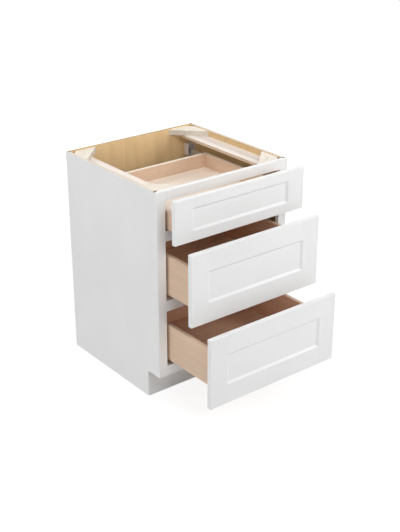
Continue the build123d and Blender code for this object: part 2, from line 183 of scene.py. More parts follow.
class Graph:
    """Node tree of a material or world, built by calls that return output sockets."""

    def __init__(self, owner: Material | bpy.types.World) -> None:
        """Starts an empty tree.

        Args:
            owner: material or world.
        """
        owner.use_nodes = True
        self.owner = owner
        self.tree = owner.node_tree
        self.tree.nodes.clear()

    @classmethod
    def of(cls, name: str) -> "Graph":
        """Starts the tree of a new material."""
        return cls(bpy.data.materials.new(name))

    @cached_property
    def place(self) -> bpy.types.NodeOutputs:
        """Where the surface is, as Object, and where it faces, as Normal."""
        return self.node("ShaderNodeTexCoord").outputs

    def node(
        self, kind: str, inputs: dict[str | int, object] | None = None, **settings: object
    ) -> bpy.types.Node:
        """Adds a node.

        Args:
            kind: Blender's name of the node type.
            inputs: output or plain value for each input, by its name or number.
            settings: properties to set on the node.

        Returns:
            The new node.
        """
        node = self.tree.nodes.new(kind)
        for key, value in settings.items():
            setattr(node, key, value)
        for key, value in (inputs or {}).items():
            self.feed(node.inputs[key], value)
        return node

    def feed(self, socket: Socket, value: object) -> None:
        """Fills an input.

        Args:
            socket: the input.
            value: output to link to it, or a plain value, where a colour has no alpha.
        """
        if isinstance(value, bpy.types.NodeSocket):
            self.tree.links.new(value, socket)
        else:
            socket.default_value = (*value, 1.0) if socket.type == "RGBA" else value

    def math(self, operation: str, *values: object) -> Socket:
        """Works out one sum on one to three numbers or outputs."""
        return self.node("ShaderNodeMath", dict(enumerate(values)), operation=operation).outputs[0]

    def span(
        self, value: Socket, low: float, high: float, to_low: float = 0.0, to_high: float = 1.0
    ) -> Socket:
        """Maps a value from one range to another, smoothly at both ends.

        Args:
            value: what is mapped.
            low: value that gives to_low.
            high: value that gives to_high.
            to_low: result at and below low.
            to_high: result at and above high.

        Returns:
            The mapped value.
        """
        inputs = dict(enumerate((value, low, high, to_low, to_high)))
        return self.node("ShaderNodeMapRange", inputs, interpolation_type="SMOOTHSTEP").outputs[0]

    def vary(self, noise: Socket, low: float, high: float) -> Socket:
        """Maps noise to a range."""
        return self.span(noise, *NOISE_RANGE, low, high)

    def mix(self, amount: object, first: object, second: object, blend: str = "MIX") -> Socket:
        """Mixes two colours.

        Args:
            amount: share of the second colour.
            first: colour or output.
            second: colour or output.
            blend: how the second acts on the first.

        Returns:
            The mixed colour.
        """
        inputs = dict(zip(MIX_INPUTS, (amount, first, second)))
        node = self.node("ShaderNodeMix", inputs, data_type="RGBA", blend_type=blend)
        return node.outputs[MIX_RESULT]

    def number_mix(self, amount: Socket, first: Socket, second: Socket) -> Socket:
        """Mixes two numbers by the share of the second."""
        return self.node("ShaderNodeMix", {0: amount, 2: first, 3: second}, data_type="FLOAT").outputs[0]

    def lit(self, colour: object, noise: Socket, shades: Range) -> Socket:
        """Darkens and lightens a colour by noise, between two levels of brightness."""
        return self.mix(1.0, colour, self.vary(noise, *shades), "MULTIPLY")

    def parts(self, vector: Socket) -> tuple[Socket, ...]:
        """Splits a vector into X, Y and Z."""
        return tuple(self.node("ShaderNodeSeparateXYZ", {0: vector}).outputs)

    def mapped(
        self, vector: Socket, move: Point = (0, 0, 0), turn: Point = (0, 0, 0), scale: Point = (1, 1, 1)
    ) -> Socket:
        """Scales, turns and then moves a vector."""
        return self.node("ShaderNodeMapping", dict(enumerate((vector, move, turn, scale)))).outputs[0]

    def board(self, board: Board) -> Socket:
        """Place in the frame of a board as it lies in its wood, with the fibres along local Z."""
        lean = (radians(board.tilt), radians(board.tilt) * LEAN_ASIDE, 0.0)
        return self.mapped(self.mapped(self.place["Object"], turn=board.grain.value), board.cut, lean)

    def noise(self, at: Socket, spots: Spots) -> Socket:
        """Adds a noise pattern.

        Args:
            at: place.
            spots: size of the pattern.

        Returns:
            Values about NOISE_MIDDLE.
        """
        lengths = (spots.across, spots.across, spots.along or spots.across)
        scaled = self.mapped(at, scale=tuple(1 / length for length in lengths))
        inputs = {"Vector": scaled, "Scale": 1.0, "Detail": spots.detail}
        return self.node("ShaderNodeTexNoise", inputs).outputs[0]

    def between(self, value: Socket, start: float, end: float) -> Socket:
        """1 where a value lies between two numbers, 0 elsewhere."""
        above = self.math("GREATER_THAN", value, start)
        return self.math("MULTIPLY", above, self.math("LESS_THAN", value, end))

    def vectors(self, operation: str, *values: object) -> Socket:
        """Works out one sum on vectors that gives a number."""
        node = self.node("ShaderNodeVectorMath", dict(enumerate(values)), operation=operation)
        return node.outputs["Value"]

    def faces(self, *sides: Side) -> Socket:
        """Finds the surface that faces one of the sides.

        Args:
            sides: one or more sides.

        Returns:
            1 there, 0 elsewhere.
        """
        cosines = (self.vectors("DOT_PRODUCT", self.place["Normal"], side.value) for side in sides)
        result, *masks = (self.span(cosine, *FACING_RANGE) for cosine in cosines)
        for mask in masks:
            result = self.math("MAXIMUM", result, mask)
        return result

    def blend(self, mask: Socket, under: Layer, over: Layer) -> Layer:
        """Lays one finish over another.

        Args:
            mask: 1 where the upper one shows.
            under: lower finish.
            over: upper finish.

        Returns:
            The two together.
        """
        rough = self.number_mix(mask, under.roughness, over.roughness)
        height = self.number_mix(mask, under.height, over.height)
        return Layer(self.mix(mask, under.colour, over.colour), rough, height)

    def shade(self, layer: Layer, metallic: float = 0.0, specular: float = 0.5) -> Material:
        """Ends the tree in one shader.

        Args:
            layer: the finish.
            metallic: 1 for bare metal.
            specular: strength of reflections on paint, wood and plastic.

        Returns:
            The material.
        """
        bump = self.node("ShaderNodeBump", {"Strength": 1.0, "Distance": 1.0, "Height": layer.height})
        inputs = {"Base Color": layer.colour, "Roughness": layer.roughness, "Metallic": metallic,
                  "Specular IOR Level": specular, "Normal": bump.outputs[0]}
        shader = self.node("ShaderNodeBsdfPrincipled", inputs)
        self.node("ShaderNodeOutputMaterial", {"Surface": shader.outputs[0]})
        return self.owner


@dataclass(frozen=True)
class SatinPaint:
    """Sprayed satin paint over wood: a fine skin, with the grain just showing through."""

    tint: Colour = (0.86, 0.86, 0.86)
    roughness: Range = (0.34, 0.43)
    cloud: Spots = Spots(0.16, 0.3, 3.0)
    cloud_light: Range = (0.985, 1.012)
    fibres: Spots = Spots(0.0022, 0.09)
    fibre_light: Range = (0.994, 1.004)
    fibre_depth: float = 0.000012
    skin: Spots = Spots(0.0016, detail=1.0)
    skin_depth: float = 0.000004
    sheen: Spots = Spots(0.02, 0.05)

    def layer(self, graph: Graph, board: Board) -> Layer:
        """Colour, sheen and relief of the paint.

        Args:
            graph: the material's tree.
            board: how the wood under the paint lies.

        Returns:
            The finish.
        """
        at = graph.board(board)
        fibres = graph.noise(at, self.fibres)
        colour = graph.lit(self.tint, graph.noise(at, self.cloud), self.cloud_light)
        colour = graph.lit(colour, fibres, self.fibre_light)
        rough = graph.vary(graph.noise(at, self.sheen), *self.roughness)
        height = graph.math("MULTIPLY", graph.noise(at, self.skin), self.skin_depth)
        height = graph.math("MULTIPLY_ADD", fibres, self.fibre_depth, height)
        return Layer(colour, rough, height)


@dataclass(frozen=True)
class Wood:
    """Clear-finished wood: fine fibres and open pores over a figure of light and dark.

    The contrast is the share of the dark colour where the figure is darkest.
    """

    light: Colour
    dark: Colour
    contrast: float
    fibres: Spots
    pores: Spots
    pore_share: float
    pore_range: Range = (0.66, 0.74)
    fibre_light: Range = (0.94, 1.05)
    fibre_depth: float = 0.00002

    def close_up(self, graph: Graph, at: Socket, figure: Socket) -> tuple[Socket, Socket, Socket]:
        """Lays fibres and pores over the figure.

        Args:
            graph: the material's tree.
            at: place in the board.
            figure: colour of the figure.

        Returns:
            The colour, the fibres and the pores.
        """
        fibres = graph.noise(at, self.fibres)
        colour = graph.lit(figure, fibres, self.fibre_light)
        pores = graph.span(graph.noise(at, self.pores), *self.pore_range)
        colour = graph.mix(graph.math("MULTIPLY", pores, self.pore_share), colour, self.dark)
        return colour, fibres, pores


@dataclass(frozen=True)
class Veneer(Wood):
    """Peeled veneer: wide wandering figure, soft stripes, fine fibres and pores."""

    fibres: Spots = Spots(0.0009, 0.05, 3.0)
    pores: Spots = Spots(0.0005, 0.008, 0.0)
    pore_share: float = 0.35
    pore_depth: float = 0.00003
    lines: float = 6.0
    late: Range = (0.15, 0.5)
    figure: float = 0.10
    figure_length: float = 14.0
    figure_detail: float = 1.5
    stripe: float = 0.04
    stripes: Spots = Spots(0.03, 2.5, 1.0)
    roughness: Range = (0.43, 0.56)

    def layer(self, graph: Graph, board: Board) -> Layer:
        """Colour, sheen and relief of the veneer.

        Args:
            graph: the material's tree.
            board: how the veneer lies.

        Returns:
            The finish.
        """
        at = graph.board(board)
        spots = Spots(self.figure, self.figure * self.figure_length, self.figure_detail)
        lines = graph.math("MULTIPLY", graph.noise(at, spots), self.lines)
        phase = graph.math("PINGPONG", lines, 0.5)
        late = graph.math("MULTIPLY", graph.span(phase, *self.late), self.contrast)
        colour = graph.mix(late, self.light, self.dark)
        colour = graph.lit(colour, graph.noise(at, self.stripes), (1.0 - self.stripe, 1.0 + self.stripe))
        colour, fibres, pores = self.close_up(graph, at, colour)
        height = graph.math("MULTIPLY", fibres, self.fibre_depth)
        height = graph.math("MULTIPLY_ADD", pores, -self.pore_depth, height)
        return Layer(colour, graph.vary(fibres, *self.roughness), height)


@dataclass(frozen=True)
class SolidWood(Wood):
    """Sawn and sanded wood: growth rings through the whole board, fibres and pores."""

    fibres: Spots = Spots(0.0008, 0.04, 3.0)
    pores: Spots = Spots(0.0006, 0.01, 0.0)
    pore_share: float = 0.4
    ring: float = 0.0026
    ring_depth: float = 0.00002
    late: Range = (0.35, 0.95)
    faintest: float = 0.35
    drift: Spots = Spots(0.05, 0.7)
    wander: float = 0.012
    tone: Spots = Spots(0.04, 1.2, 1.0)
    tone_light: Range = (0.95, 1.04)
    end_shade: float = 0.80
    roughness: Range = (0.45, 0.58)

    def layer(self, graph: Graph, board: Board) -> Layer:
        """Colour, sheen and relief, with end grain where the fibres meet the surface.

        Args:
            graph: the material's tree.
            board: how the piece lies in its wood.

        Returns:
            The finish.
        """
        at = graph.board(board)
        late = self.rings(graph, at)
        colour = graph.mix(graph.math("MULTIPLY", late, self.contrast), self.light, self.dark)
        colour = graph.lit(colour, graph.noise(at, self.tone), self.tone_light)
        colour, fibres, _ = self.close_up(graph, at, colour)
        end = graph.faces(*board.grain.ends())
        colour = graph.mix(end, colour, (self.end_shade,) * 3, "MULTIPLY")
        height = graph.math("MULTIPLY", fibres, self.fibre_depth)
        height = graph.math("MULTIPLY_ADD", late, -self.ring_depth, height)
        return Layer(colour, graph.vary(fibres, *self.roughness), height)

    def rings(self, graph: Graph, at: Socket) -> Socket:
        """Growth rings, which wander and differ from year to year.

        Args:
            graph: the material's tree.
            at: place in the board.

        Returns:
            How late in its year the wood grew, times how dark that year is.
        """
        x, y, _ = graph.parts(at)
        squares = graph.math("MULTIPLY_ADD", y, y, graph.math("MULTIPLY", x, x))
        drift = graph.math("SUBTRACT", graph.noise(at, self.drift), NOISE_MIDDLE)
        radius = graph.math("MULTIPLY_ADD", drift, self.wander, graph.math("SQRT", squares))
        turns = graph.math("DIVIDE", radius, self.ring)
        number = {"W": graph.math("FLOOR", turns)}
        chance = graph.node("ShaderNodeTexWhiteNoise", number, noise_dimensions="1D").outputs["Value"]
        year = graph.span(chance, 0.0, 1.0, self.faintest, 1.0)
        return graph.math("MULTIPLY", graph.span(graph.math("FRACT", turns), *self.late), year)


@dataclass(frozen=True)
class PlyEdge:
    """Sawn edge of plywood: plies that alternate between long grain and end grain."""

    light: Colour
    dark: Colour
    plies: int = 9
    flaws: Spots = Spots(0.05)
    flaw: float = 0.35
    glue: float = 0.10
    glue_share: float = 0.55
    glue_tint: Colour = (0.20, 0.11, 0.05)
    specks: Spots = Spots(0.0007)
    speck_light: Range = (0.82, 1.12)
    depth: float = 0.00004
    roughness: Range = (0.57, 0.72)

    def layer(self, graph: Graph, through: Through, start: float, thickness: float) -> Layer:
        """Colour, sheen and relief of the edge.

        Args:
            graph: the material's tree.
            through: direction through the thickness.
            start: where the panel begins on that axis, in metres.
            thickness: its thickness in metres.

        Returns:
            The finish.
        """
        at = graph.place["Object"]
        depth = graph.math("SUBTRACT", graph.parts(at)[through.value], start)
        count = graph.math("DIVIDE", depth, thickness / self.plies)
        flaws = graph.math("SUBTRACT", graph.noise(at, self.flaws), NOISE_MIDDLE)
        count = graph.math("ADD", count, graph.math("MULTIPLY", flaws, self.flaw))
        odd = graph.math("PINGPONG", graph.math("FLOOR", count), 1.0)
        colour = graph.mix(odd, self.light, self.dark)
        seam = graph.math("PINGPONG", graph.math("FRACT", count), 0.5)
        seam = graph.span(seam, 0.0, self.glue, self.glue_share, 0.0)
        colour = graph.mix(seam, colour, self.glue_tint)
        specks = graph.noise(at, self.specks)
        colour = graph.lit(colour, specks, self.speck_light)
        height = graph.math("MULTIPLY", graph.math("ADD", specks, odd), self.depth)
        return Layer(colour, graph.vary(specks, *self.roughness), height)


@dataclass(frozen=True)
class RolledSteel:
    """Zinc-plated strip: rolling streaks along its length and a faint spangle."""

    tint: Colour = (0.66, 0.65, 0.64)
    metallic: float = 0.7
    streaks: Spots = Spots(0.0012, 0.12, 3.0)
    streak_light: Range = (0.90, 1.06)
    streak_depth: float = 0.00001
    spangle: Spots = Spots(0.005, detail=0.0)
    spangle_light: Range = (0.93, 1.05)
    roughness: Range = (0.30, 0.50)

    def material(self, name: str) -> Material:
        """The steel as a material.

        Args:
            name: name of the material.

        Returns:
            The material.
        """
        graph = Graph.of(name)
        at = graph.board(Board(Grain.DEEP, (0.0, 0.0, 0.0), 0.0))
        streaks = graph.noise(at, self.streaks)
        colour = graph.lit(self.tint, streaks, self.streak_light)
        colour = graph.lit(colour, graph.noise(at, self.spangle), self.spangle_light)
        height = graph.math("MULTIPLY", streaks, self.streak_depth)
        return graph.shade(Layer(colour, graph.vary(streaks, *self.roughness), height), self.metallic)


@dataclass(frozen=True)
class Moulded:
    """Injection-moulded plastic with a fine spark-eroded grain."""

    tint: Colour
    roughness: Range = (0.44, 0.58)
    cloud: Spots = Spots(0.02)
    cloud_light: Range = (0.96, 1.03)
    grain: Spots = Spots(0.0005)
    grain_light: Range = (0.97, 1.02)
    grain_depth: float = 0.00002

    def material(self, name: str) -> Material:
        """The plastic as a material.

        Args:
            name: name of the material.

        Returns:
            The material.
        """
        graph = Graph.of(name)
        at = graph.place["Object"]
        grain = graph.noise(at, self.grain)
        colour = graph.lit(self.tint, graph.noise(at, self.cloud), self.cloud_light)
        colour = graph.lit(colour, grain, self.grain_light)
        height = graph.math("MULTIPLY", grain, self.grain_depth)
        return graph.shade(Layer(colour, graph.vary(grain, *self.roughness), height))


PAINT = SatinPaint()
MAPLE = Veneer(light=(0.86, 0.62, 0.33), dark=(0.74, 0.50, 0.245), contrast=0.28, stripe=0.025)
SIDE_FACE = Veneer(light=(0.70, 0.49, 0.25), dark=(0.59, 0.395, 0.185), contrast=0.28, stripe=0.025)
MAPLE_EDGE = PlyEdge(light=(0.62, 0.46, 0.27), dark=(0.44, 0.30, 0.15))
SIDE_EDGE = PlyEdge(light=(0.87, 0.81, 0.72), dark=(0.78, 0.69, 0.57))
# Painted shade: a near-black ply edge that stands in for the dark inside of a gaping joint.
GAP_SHADE = PlyEdge(light=(0.12, 0.08, 0.05), dark=(0.07, 0.045, 0.03), plies=5)
BRACE_BLOCK = SolidWood(light=(0.90, 0.82, 0.71), dark=(0.80, 0.68, 0.54), ring=0.0034, contrast=0.35)
BRACE_FACE = Veneer(light=(0.91, 0.83, 0.765), dark=(0.80, 0.69, 0.60), lines=9.0, figure=0.05, contrast=0.45)
BRACE_EDGE = PlyEdge(light=(0.88, 0.79, 0.68), dark=(0.60, 0.41, 0.25), plies=5)
BIRCH = SolidWood(light=(0.76, 0.565, 0.42), dark=(0.64, 0.44, 0.30), contrast=0.35)
# Painted highlight: a paler copy of the birch for the top edges of the shallow box's walls, as if lit from
# above.
BIRCH_LIT_TOP = SolidWood(light=(0.91, 0.80, 0.69), dark=(0.80, 0.66, 0.53), contrast=0.25)
# Painted shade: a redder, darker copy of the birch for the deep boxes' inner faces, as they look in deep
# shade.
BIRCH_SHADED_INSIDE = SolidWood(light=(0.80, 0.50, 0.345), dark=(0.67, 0.38, 0.24), contrast=0.45)
BIRCH_FLOOR = Veneer(light=(0.92, 0.80, 0.68), dark=(0.84, 0.68, 0.54), contrast=0.30, stripe=0.02)
# Painted shade: a redder, darker copy of the floor veneer for the deep boxes, as their floors look in deep
# shade.
DEEP_FLOOR_SHADED = Veneer(light=(0.85, 0.56, 0.40), dark=(0.68, 0.40, 0.26), lines=9.0, contrast=0.50, stripe=0.05)
STEEL = RolledSteel()
NYLON = Moulded(tint=(0.80, 0.80, 0.77), roughness=(0.36, 0.50))
GREY_PLASTIC = Moulded(tint=(0.16, 0.16, 0.165))
BRACKET_PLASTIC = Moulded(tint=(0.86, 0.80, 0.80))


def painted(name: str, board: Board) -> Material:
    """Material of a piece that is painted all over."""
    graph = Graph.of(name)
    return graph.shade(PAINT.layer(graph, board))


def wooden(name: str, wood: SolidWood | Veneer, board: Board) -> Material:
    """Material of a piece in clear-finished wood."""
    graph = Graph.of(name)
    return graph.shade(wood.layer(graph, board), specular=WOOD_GLOSS)


def plywood(
    name: str,
    board: Board,
    through: Through,
    face: Veneer,
    edge: PlyEdge,
    coated: tuple[Side, ...] = (),
    joints: tuple[ShadedJoint, ...] = (),
) -> Material:
    """Material of a plywood panel, with its plies showing on the edges.

    Args:
        name: the panel's node, which gives the place of its plies.
        board: how its veneer lies.
        through: direction through its thickness.
        face: veneer on its broad sides.
        edge: its sawn edges.
        coated: sides that are painted.
        joints: stretches of its top edge that get painted shade where a joint gapes.

    Returns:
        The material.
    """
    low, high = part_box(name)
    start, end = low[through.value], high[through.value]
    graph = Graph.of(name)
    plies = edge.layer(graph, through, start, end - start)
    layer = graph.blend(graph.faces(*through.flats()), plies, face.layer(graph, board))
    if coated:
        layer = graph.blend(graph.faces(*coated), layer, PAINT.layer(graph, board))
    place = graph.parts(graph.place["Object"])
    # Painted shade: the near-black edge is laid on the top face where a joint gapes.
    for joint in joints:
        gap_shade = graph.between(place[joint.along.value], joint.start, joint.end)
        gap_shade = graph.math("MULTIPLY", gap_shade, graph.faces(Side.TOP))
        layer = graph.blend(gap_shade, layer, GAP_SHADE.layer(graph, through, start, end - start))
    return graph.shade(layer, specular=PLY_GLOSS)


# ---- modelling ----

WELD_GAP = 0.00001    # points this close are one
EASE_STEPS = 2        # steps round a broken edge
EASE_ANGLE = 40.0     # edges sharper than this, in degrees, are broken
SQUARE_ON = 0.9       # cosine beyond which a face looks squarely to a side


def ease(node: Piece, width: float) -> None:
    """Breaks the sharp edges of a piece so that they catch the light.

    Args:
        node: the piece, whose own mesh stays as it is.
        width: width of the broken edge in metres.
    """
    weld = node.modifiers.new("joined_faces", "WELD")
    weld.merge_threshold = WELD_GAP
    bevel = node.modifiers.new("eased_edges", "BEVEL")
    bevel.width = width
    bevel.segments = EASE_STEPS
    bevel.limit_method = "ANGLE"
    bevel.angle_limit = radians(EASE_ANGLE)
    bevel.use_clamp_overlap = True


def clothe(node: Piece, material: Material) -> None:
    """Gives a piece one material all over."""
    node.data.materials.clear()
    node.data.materials.append(material)


class Workshop:
    """Hand operations on meshes, each started with nothing selected."""

    @staticmethod
    def clear() -> None:
        """Leaves edit mode and deselects everything."""
        if bpy.context.object and bpy.context.object.mode != "OBJECT":
            bpy.ops.object.mode_set(mode="OBJECT")
        bpy.ops.object.select_all(action="DESELECT")

    @staticmethod
    def take(*pieces: Piece) -> None:
        """Selects some pieces and nothing else.

        Args:
            pieces: the pieces, of which the first becomes the active one.
        """
        Workshop.clear()
        for piece in pieces:
            piece.select_set(True)
        bpy.context.view_layer.objects.active = pieces[0]

    @staticmethod
    def cylinder(radius: float, height: float, sides: int) -> Piece:
        """Adds an upright cylinder that stands on the origin.

        Args:
            radius: radius in metres.
            height: height in metres.
            sides: number of sides.

        Returns:
            The new object, which is active, with its place in its mesh.
        """
        Workshop.clear()
        middle = (0.0, 0.0, height / 2)
        bpy.ops.mesh.primitive_cylinder_add(vertices=sides, radius=radius, depth=height, location=middle)
        bpy.ops.object.transform_apply(location=True)
        return bpy.context.object

    @staticmethod
    def pick_faces(piece: Piece, *sides: Side) -> None:
        """Goes into edit mode with some faces selected.

        Args:
            piece: object to edit.
            sides: where the selected faces look.
        """
        bpy.ops.object.mode_set(mode="EDIT")
        bpy.ops.mesh.select_mode(type="FACE")
        bpy.ops.mesh.select_all(action="DESELECT")
        bpy.ops.object.mode_set(mode="OBJECT")
        for face in piece.data.polygons:
            face.select = any(face.normal.dot(Vector(side.value)) > SQUARE_ON for side in sides)
        bpy.ops.object.mode_set(mode="EDIT")

    @staticmethod
    def apply(piece: Piece, kind: str, **settings: object) -> None:
        """Adds a modifier and applies it.

        Args:
            piece: object to change.
            kind: Blender's name of the modifier type.
            settings: properties to set on the modifier.
        """
        Workshop.take(piece)
        modifier = piece.modifiers.new(kind.lower(), kind)
        for key, value in settings.items():
            setattr(modifier, key, value)
        bpy.ops.object.modifier_apply(modifier=modifier.name)

    @staticmethod
    def smooth(piece: Piece, angle: float) -> None:
        """Smooths the shading except over edges sharper than an angle in degrees."""
        Workshop.take(piece)
        bpy.ops.object.shade_smooth_by_angle(angle=radians(angle))

    @staticmethod
    def set_out(pattern: Piece, places: list[Matrix], name: str) -> Piece:
        """Makes one piece of several copies of a pattern, each with its place in its mesh.

        Args:
            pattern: finished object at the origin.
            places: where each copy goes.
            name: name of the piece.

        Returns:
            The piece, at the origin.
        """
        copies = []
        for place in places:
            copy = pattern.copy()
            copy.data = pattern.data.copy()
            copy.data.transform(place)
            bpy.context.scene.collection.objects.link(copy)
            copies.append(copy)
        Workshop.take(*copies)
        bpy.ops.object.join()
        piece = bpy.context.object
        piece.name = piece.data.name = name
        return piece


@dataclass
class PanHeadScrew:
    """Pan-head screw with a cross recess, head up, its underside at the origin.

    Attributes:
        slot: width of the cross's arms.
        reach: length of an arm from the middle.
        taper: share of its size that the cross keeps at its floor.
        sunk: length of the shank that is modelled.
        rings: steps in the round over the edge.
        crease: edges sharper than this, in degrees, stay sharp.
    """

    radius: float = 0.0040
    height: float = 0.0024
    round_over: float = 0.0014
    slot: float = 0.0011
    reach: float = 0.0022
    depth: float = 0.0013
    taper: float = 0.6
    shank: float = 0.0018
    sunk: float = 0.0012
    sides: int = 24
    rings: int = 4
    crease: float = 35.0

    def model(self) -> Piece:
        """Models the screw.

        Returns:
            The screw as an object at the origin.
        """
        head = Workshop.cylinder(self.radius, self.height, self.sides)
        Workshop.pick_faces(head, Side.TOP)
        bpy.ops.mesh.bevel(offset=self.round_over, segments=self.rings, affect="EDGES")
        Workshop.pick_faces(head, Side.UNDER)
        bpy.ops.mesh.inset(thickness=self.radius - self.shank)
        bpy.ops.mesh.extrude_region_move(TRANSFORM_OT_translate={"value": (0.0, 0.0, -self.sunk)})
        bpy.ops.object.mode_set(mode="OBJECT")
        cross = self.cutter()
        Workshop.apply(head, "BOOLEAN", operation="DIFFERENCE", solver="EXACT", object=cross)
        bpy.data.objects.remove(cross)
        Workshop.smooth(head, self.crease)
        return head

    def cutter(self) -> Piece:
        """Models the cross that is taken out of the head, slimmer at its floor.

        Returns:
            The cross as an object at the origin.
        """
        floor = self.height - self.depth
        roof = self.height + self.slot
        size, middle = (self.slot, self.slot, roof - floor), (0.0, 0.0, (roof + floor) / 2)
        Workshop.clear()
        bpy.ops.mesh.primitive_cube_add(size=1.0, location=middle, scale=size)
        bpy.ops.object.transform_apply(location=True, scale=True)
        cross = bpy.context.object
        Workshop.pick_faces(cross, Side.LEFT, Side.RIGHT, Side.FRONT, Side.REAR)
        bpy.ops.mesh.extrude_faces_move(TRANSFORM_OT_shrink_fatten={"value": self.reach - self.slot / 2})
        Workshop.pick_faces(cross, Side.UNDER)
        bpy.ops.transform.resize(value=(self.taper, self.taper, 1.0), center_override=(0.0, 0.0, floor))
        bpy.ops.object.mode_set(mode="OBJECT")
        return cross


@dataclass
class Bumper:
    """Soft self-adhesive dome that stops a drawer front against the face frame."""

    radius: float = 0.0045
    height: float = 0.0012
    round_share: float = 0.8
    sides: int = 32
    rings: int = 5
    crease: float = 60.0

    def model(self) -> Piece:
        """Models the bumper.

        Returns:
            The bumper as an object at the origin, its adhesive side down.
        """
        dome = Workshop.cylinder(self.radius, self.height, self.sides)
        Workshop.pick_faces(dome, Side.TOP)
        bpy.ops.mesh.bevel(offset=self.height * self.round_share, segments=self.rings, affect="EDGES")
        bpy.ops.object.mode_set(mode="OBJECT")
        Workshop.smooth(dome, self.crease)
        return dome


def facing(side: Side, at: Point) -> Matrix:
    """Place of a fitting whose head looks to a side."""
    turn = Vector(Side.TOP.value).rotation_difference(Vector(side.value))
    return Matrix.Translation(at) @ turn.to_matrix().to_4x4()


@dataclass
class Fittings:
    """Patterns of the small fittings, each modelled once, with their materials."""

    screw: Piece = field(init=False)
    bumper: Piece = field(init=False)

    def __post_init__(self) -> None:
        """Models the patterns."""
        self.screw = PanHeadScrew().model()
        clothe(self.screw, STEEL.material("plated_screw"))
        self.bumper = Bumper().model()
        clothe(self.bumper, NYLON.material("soft_bumper"))

    def fit(self, pattern: Piece, places: list[Matrix], name: str, body: str, slot: str) -> Piece:
        """Fits copies of a pattern as one piece.

        Args:
            pattern: screw or bumper.
            places: where each copy goes.
            name: name of the piece.
            body: what it moves with.
            slot: the record's material slot; not used.

        Returns:
            The piece.
        """
        piece = Workshop.set_out(pattern, places, name)
        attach(piece, body)
        return piece

    def drive(self, places: list[Matrix], name: str, body: str) -> Piece:
        """Drives screws."""
        return self.fit(self.screw, places, name, body, "zinc_steel")

    def put_away(self) -> None:
        """Removes the patterns once all copies are made."""
        for pattern in (self.screw, self.bumper):
            bpy.data.objects.remove(pattern)


# ---- sub-assemblies ----

@dataclass
class SubAssembly(ABC):
    """Part of the cabinet that goes together in one step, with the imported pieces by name."""

    nodes: dict[str, Piece]

    @abstractmethod
    def build(self) -> Iterator[Piece]:
        """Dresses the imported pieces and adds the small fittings.

        Yields:
            Each finished piece.
        """

    def dress(self, name: str, material: Material, edge: float = 0.0) -> Piece:
        """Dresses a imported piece.

        Args:
            name: its node.
            material: what it wears.
            edge: width of its broken edges in metres, or 0 where they stay sharp.

        Returns:
            The piece.
        """
        node = self.nodes[name]
        clothe(node, material)
        if edge:
            ease(node, edge)
        return node


@dataclass
class DrawerPart(SubAssembly):
    """Sub-assembly that each drawer has."""

    fittings: Fittings
    drawer: str

    @property
    def row(self) -> int:
        """Number of the drawer from the top."""
        return DRAWERS.index(self.drawer)

    def named(self, part: str) -> str:
        """Name of a piece or body of this drawer."""
        return f"{self.drawer}_{part}"


@dataclass
class Carcass(SubAssembly):
    """Plywood sides, back, floor and toe board.

    Attributes:
        gap_shade_reach: how far the painted shade of a side's open joint reaches behind its stile.
    """

    edge: float = 0.0004
    gap_shade_reach: float = 0.004
    side_log: Log = Log((0.0, 0.4, 0.0), step=(0.31, 0.0, 0.0))
    back_log: Log = Log((1.9, 0.7, 0.3))
    floor_log: Log = Log((0.2, 1.4, 0.0), step=(0.0, 0.0, 0.8))

    def build(self) -> Iterator[Piece]:
        """Dresses the panels.

        Yields:
            Each panel.
        """
        yield from self.sides()
        yield self.back("back_panel")
        for name, through, coated in (("cabinet_floor", Through.Z, ()),
                                      ("toe_board", Through.Y, (Side.FRONT,))):
            board = self.floor_log.board(Grain.ACROSS, through.value)
            yield self.dress(name, plywood(name, board, through, MAPLE, MAPLE_EDGE, coated), self.edge)

    def sides(self) -> Iterator[Piece]:
        """Dresses the sides, which are let into the stiles.

        Yields:
            Each side.
        """
        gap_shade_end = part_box("left_stile")[1].y + self.gap_shade_reach
        for name, outer in (("left_side_panel", Side.LEFT), ("right_side_panel", Side.RIGHT)):
            board = self.side_log.board(Grain.UPRIGHT, outer.value[0])
            coated = (outer, Side.FRONT, Side.UNDER)
            # Painted shade on the side's top edge from its front to just behind the stile.
            tongue_shade = ShadedJoint(Through.Y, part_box(name)[0].y, gap_shade_end)
            material = plywood(name, board, Through.X, SIDE_FACE, SIDE_EDGE, coated, (tongue_shade,))
            yield self.dress(name, material, self.edge)

    def back(self, name: str) -> Piece:
        """Dresses the back, which is let into both sides.

        Args:
            name: its node.

        Returns:
            The back.
        """
        low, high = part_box(name)
        # Painted shade on the back's top edge where it sits in each side.
        joints = (ShadedJoint(Through.X, low.x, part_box("left_side_panel")[1].x),
                  ShadedJoint(Through.X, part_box("right_side_panel")[0].x, high.x))
        board = self.back_log.board(Grain.UPRIGHT)
        return self.dress(name, plywood(name, board, Through.Y, MAPLE, MAPLE_EDGE, joints=joints), self.edge)


@dataclass
class FaceFrame(SubAssembly):
    """Stiles and rails round the openings."""

    edge: float = 0.0004
    log: Log = Log(step=(0.3, 0.7, 0.0))

    def build(self) -> Iterator[Piece]:
        """Paints the frame.

        Yields:
            Each stile and rail.
        """
        boards = {f"{side}_stile": Grain.UPRIGHT for side in SIDES}
        boards |= {f"{rail}_rail": Grain.ACROSS for rail in ("top", "upper", "lower", "bottom")}
        for index, (name, grain) in enumerate(boards.items()):
            yield self.dress(name, painted(name, self.log.board(grain, index)), self.edge)


